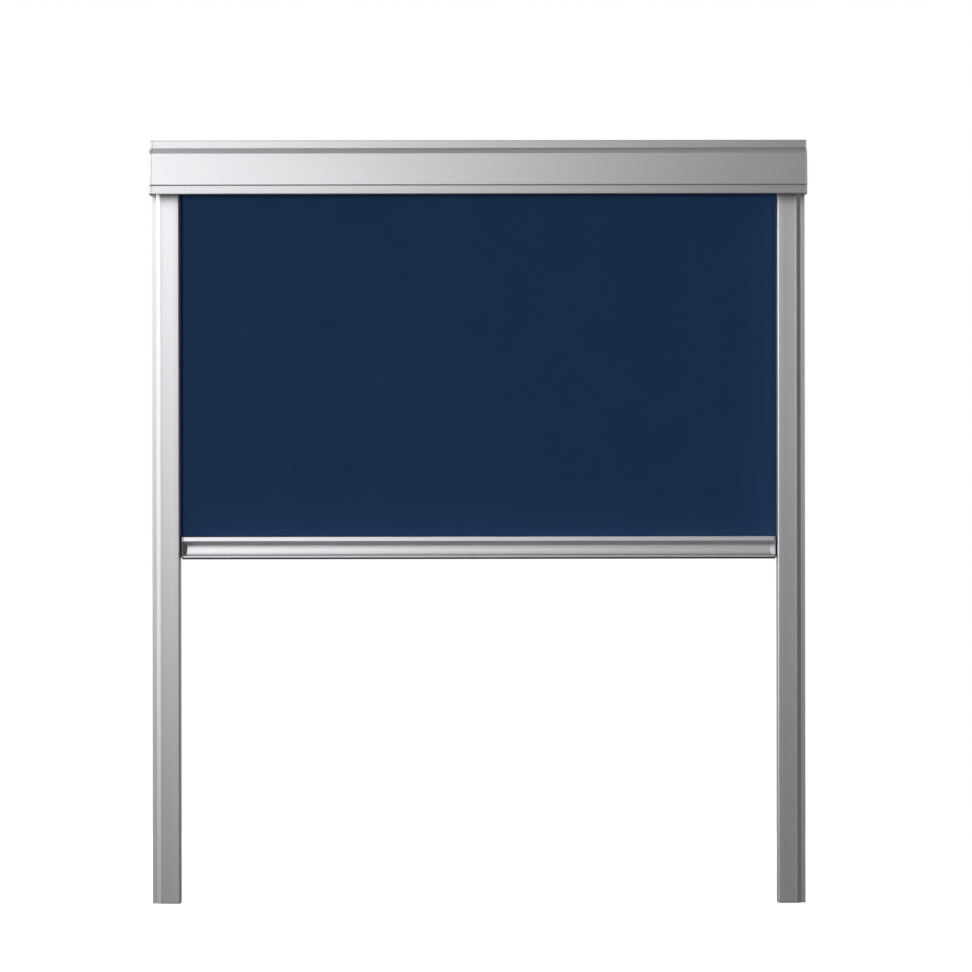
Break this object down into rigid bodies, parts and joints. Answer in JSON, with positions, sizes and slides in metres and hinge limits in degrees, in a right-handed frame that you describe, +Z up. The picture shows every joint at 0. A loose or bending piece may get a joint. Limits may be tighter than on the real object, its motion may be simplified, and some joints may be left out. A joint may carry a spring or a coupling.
{
  "type": "skylight window blind",
  "caption": "Blackout roller blind for a roof window: head cassette with a sprung roller, side rails, navy cloth and a sliding pull bar with a finger scoop.",
  "frame": {"origin": "on the plane of the cassette's flat back, half-way across the blind, level with the roller's axis", "axes": "+Z up along the side rails, +X across the blind, +Y out of its back towards the window pane, so the room side faces -Y"},
  "size_m": [0.613, 0.0499, 0.7147],
  "materials": {
    "satin_aluminium": "satin anodised extrusion",
    "grey_plastic": "silver-grey moulded plastic, fine grain",
    "dark_plastic": "dark grey low-friction plastic",
    "steel": "zinc-plated steel",
    "blackout_cloth": "matt navy blackout cloth",
    "black_rubber": "matt black rubber",
    "felt": "pressed grey felt"
  },
  "bodies": {
    "frame": {"cassette_back_profile": "satin_aluminium", "cassette_front_cover": "satin_aluminium", "left_cassette_end_cap": "grey_plastic", "right_cassette_end_cap": "grey_plastic", "left_rear_end_screw": "steel", "right_rear_end_screw": "steel", "left_front_end_screw": "steel", "right_front_end_screw": "steel", "left_side_rail": "satin_aluminium", "right_side_rail": "satin_aluminium", "left_rail_foot_cap": "grey_plastic", "right_rail_foot_cap": "grey_plastic", "spring_shaft": "steel", "spring_anchor": "dark_plastic", "idle_pin": "steel"},
    "roller": {"roller_tube": "satin_aluminium", "cloth_key": "dark_plastic", "left_tube_plug": "dark_plastic", "right_tube_plug": "dark_plastic", "cloth_roll": "blackout_cloth", "torsion_spring": "steel"},
    "bottom_bar": {"pull_bar_profile": "satin_aluminium", "left_bar_end_cap": "grey_plastic", "right_bar_end_cap": "grey_plastic", "left_slider_shoe": "dark_plastic", "right_slider_shoe": "dark_plastic", "left_brake_spring": "steel", "right_brake_spring": "steel", "left_brake_pad": "felt", "right_brake_pad": "felt", "hem_spline": "dark_plastic", "bottom_seal": "black_rubber", "cloth_drop": "blackout_cloth"}
  },
  "joints": [
    {"name": "bar_slide", "type": "slide", "parent": "frame", "child": "bottom_bar", "axis": [0, 0, 1], "range_m": [-0.3139, 0.3186], "deforming": ["cloth_drop"]},
    {"name": "roller_turn", "type": "hinge", "parent": "frame", "child": "roller", "pos_m": [0, -0.01894, 0], "axis": [1, 0, 0], "range_deg": [-1240, 1260]}
  ],
  "couplings": [
    {"joint": "roller_turn", "follows": "bar_slide", "rad_per_m": 68.643}
  ]
}
